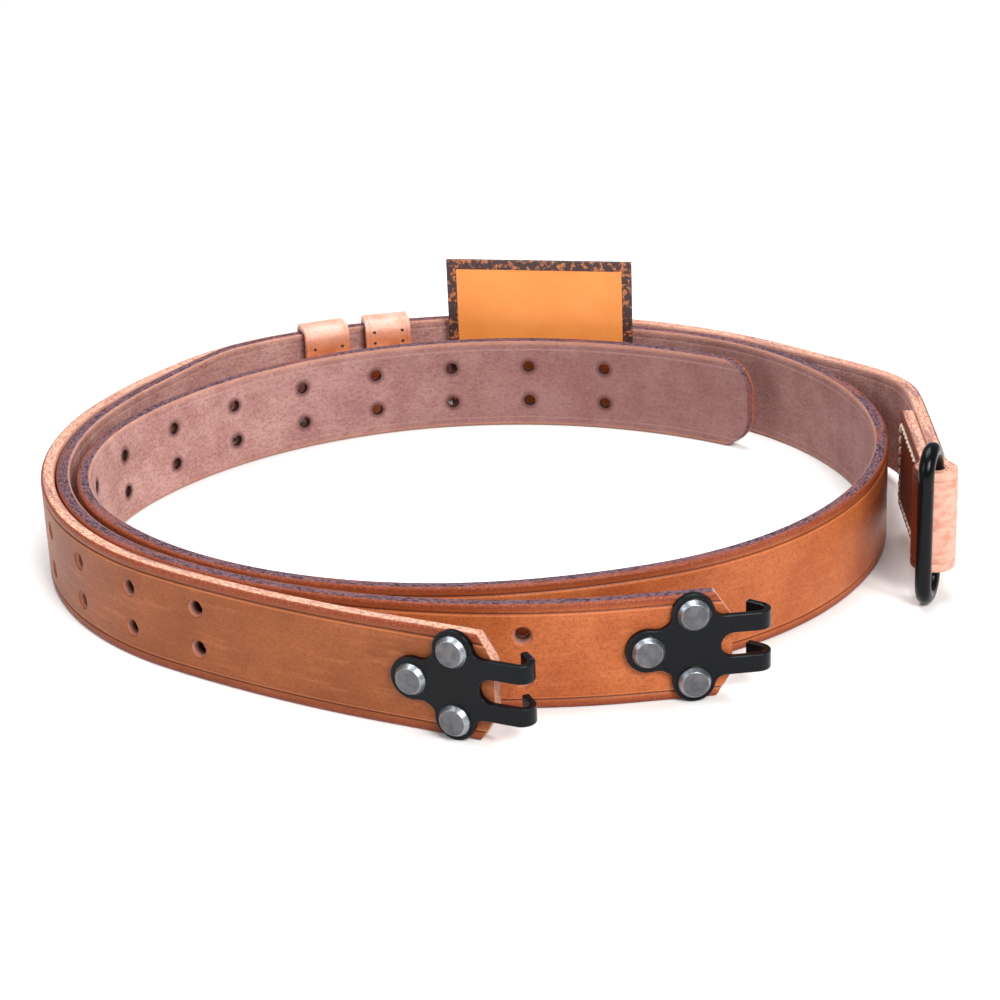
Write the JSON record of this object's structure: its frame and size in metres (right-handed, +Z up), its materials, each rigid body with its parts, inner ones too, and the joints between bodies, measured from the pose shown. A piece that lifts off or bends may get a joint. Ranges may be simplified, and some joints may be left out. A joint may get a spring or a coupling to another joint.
{
  "type": "leather carrying sling",
  "caption": "Two-piece leather carrying sling coiled on edge: punched straps with riveted claw plates, sliding leather keepers, a stitched-in wire ring and a blank standing tag.",
  "frame": {"origin": "middle of the coil's footprint, on the surface that the strap edges stand on", "axes": "+Z up, along the straps' width; -Y towards the side where the two claw plates are; +X towards the stitched ring end"},
  "size_m": [0.279, 0.2788, 0.058],
  "materials": {
    "strap_leather": "oiled russet grain outside, matt flesh side inside, burnished edges",
    "keeper_leather": "lighter oiled russet leather",
    "black_enamel": "gloss black enamel",
    "rivet_steel": "turned heads, satin",
    "staple_steel": "dark oxidised wire",
    "white_thread": "waxed linen thread",
    "tag_field": "matt printed card, orange",
    "tag_border": "dark brown leather binding"
  },
  "bodies": {
    "short_sling": {"short_strap": "strap_leather", "short_claw_plate": "black_enamel", "ring_tab_stitching": "white_thread", "short_rivet_left": "rivet_steel", "short_rivet_upper": "rivet_steel", "short_rivet_lower": "rivet_steel", "short_burr_left": "rivet_steel", "short_burr_upper": "rivet_steel", "short_burr_lower": "rivet_steel"},
    "long_sling": {"long_strap": "strap_leather", "long_claw_plate": "black_enamel", "long_rivet_left": "rivet_steel", "long_rivet_upper": "rivet_steel", "long_rivet_lower": "rivet_steel", "long_burr_left": "rivet_steel", "long_burr_upper": "rivet_steel", "long_burr_lower": "rivet_steel"},
    "end_ring": {"ring": "black_enamel"},
    "first_keeper": {"keeper_1": "keeper_leather", "keeper_1_staple_left": "staple_steel", "keeper_1_staple_right": "staple_steel"},
    "second_keeper": {"keeper_2": "keeper_leather", "keeper_2_staple_left": "staple_steel", "keeper_2_staple_right": "staple_steel"},
    "standing_tag": {"tag_panel": "tag_field", "tag_border": "tag_border"}
  },
  "joints": [
    {"name": "long_strap_lift", "type": "slide", "parent": "short_sling", "child": "long_sling", "axis": [0, 0, 1], "range_m": [0, 0.06]},
    {"name": "ring_swing", "type": "hinge", "parent": "short_sling", "child": "end_ring", "pos_m": [0.13283, -0.0489, 0.0252], "axis": [0, 0, 1], "range_deg": [-120, 160]},
    {"name": "keeper_1_slip", "type": "hinge", "parent": "long_sling", "child": "first_keeper", "pos_m": [-0.00476, -0.03587, 0.0187], "axis": [0, 0, 1], "range_deg": [-0.8, 5]},
    {"name": "keeper_2_slip", "type": "hinge", "parent": "long_sling", "child": "second_keeper", "pos_m": [-0.00476, -0.03587, 0.0187], "axis": [0, 0, 1], "range_deg": [-4, 0.8]},
    {"name": "tag_lift", "type": "slide", "parent": "short_sling", "child": "standing_tag", "axis": [0, 0, 1], "range_m": [0, 0.06]}
  ]
}
